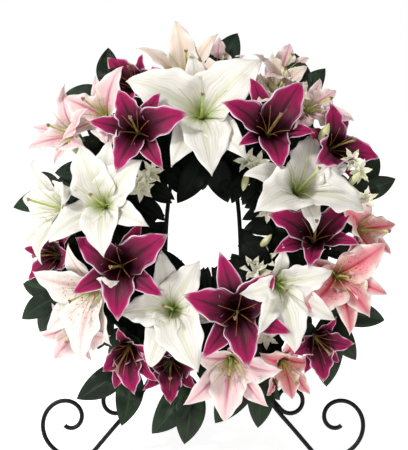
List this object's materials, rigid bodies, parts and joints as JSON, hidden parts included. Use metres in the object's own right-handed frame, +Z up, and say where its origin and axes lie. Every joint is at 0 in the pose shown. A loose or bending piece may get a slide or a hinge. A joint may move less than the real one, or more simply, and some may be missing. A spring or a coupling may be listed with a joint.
{
  "type": "funeral wreath",
  "caption": "Ring of open lilies and dark leaves in floral foam, leaning on a wrought-iron easel with scrolled feet.",
  "frame": {"origin": "centre of the bounding box, on the floor under the easel's feet", "axes": "+Z up, the wreath's face looks towards -Y and leans back, +X to the right seen from the front"},
  "size_m": [0.602, 0.4204, 0.6798],
  "materials": {
    "black_iron": "satin black wrought iron",
    "ring_tray": "dark green moulded plastic",
    "floral_foam": "soaked dark green floral foam",
    "leaf": "waxy dark green leaf",
    "floret": "waxy cream-green small flower",
    "white_petal": "satin cream-white petal",
    "crimson_petal": "satin dark magenta petal with a pale edge",
    "pink_petal": "satin pale pink petal with a pink midrib"
  },
  "bodies": {
    "root": {"bottom_leaves": "leaf", "bottom_left_leaves": "leaf", "crimson_lily_1": "crimson_petal", "crimson_lily_10": "crimson_petal", "crimson_lily_11": "crimson_petal", "crimson_lily_2": "crimson_petal", "crimson_lily_3": "crimson_petal", "crimson_lily_4": "crimson_petal", "crimson_lily_5": "crimson_petal", "crimson_lily_6": "crimson_petal", "crimson_lily_7": "crimson_petal", "crimson_lily_8": "crimson_petal", "crimson_lily_9": "crimson_petal", "inner_florets": "floret", "inner_left_leaves": "leaf", "inner_right_leaves": "leaf", "inner_top_leaves": "leaf", "left_florets": "floret", "left_leaves": "leaf", "left_ledge_hook": "black_iron", "left_leg": "black_iron", "left_small_scroll": "black_iron", "lower_cross_bar": "black_iron", "lower_leaves": "leaf", "lower_left_leaves": "leaf", "lower_right_leaves": "leaf", "pink_lily_1": "pink_petal", "pink_lily_10": "pink_petal", "pink_lily_2": "pink_petal", "pink_lily_3": "pink_petal", "pink_lily_4": "pink_petal", "pink_lily_5": "pink_petal", "pink_lily_6": "pink_petal", "pink_lily_7": "pink_petal", "pink_lily_8": "pink_petal", "pink_lily_9": "pink_petal", "rear_leg": "black_iron", "right_florets": "floret", "right_leaves": "leaf", "right_ledge_hook": "black_iron", "right_leg": "black_iron", "right_small_scroll": "black_iron", "ring_foam": "floral_foam", "ring_tray": "ring_tray", "top_florets": "floret", "top_leaves": "leaf", "upper_cross_bar": "black_iron", "upper_left_leaves": "leaf", "upper_right_leaves": "leaf", "white_lily_1": "white_petal", "white_lily_2": "white_petal", "white_lily_3": "white_petal", "white_lily_4": "white_petal", "white_lily_5": "white_petal", "white_lily_6": "white_petal", "white_lily_7": "white_petal", "white_lily_8": "white_petal", "white_lily_9": "white_petal"}
  },
  "joints": []
}
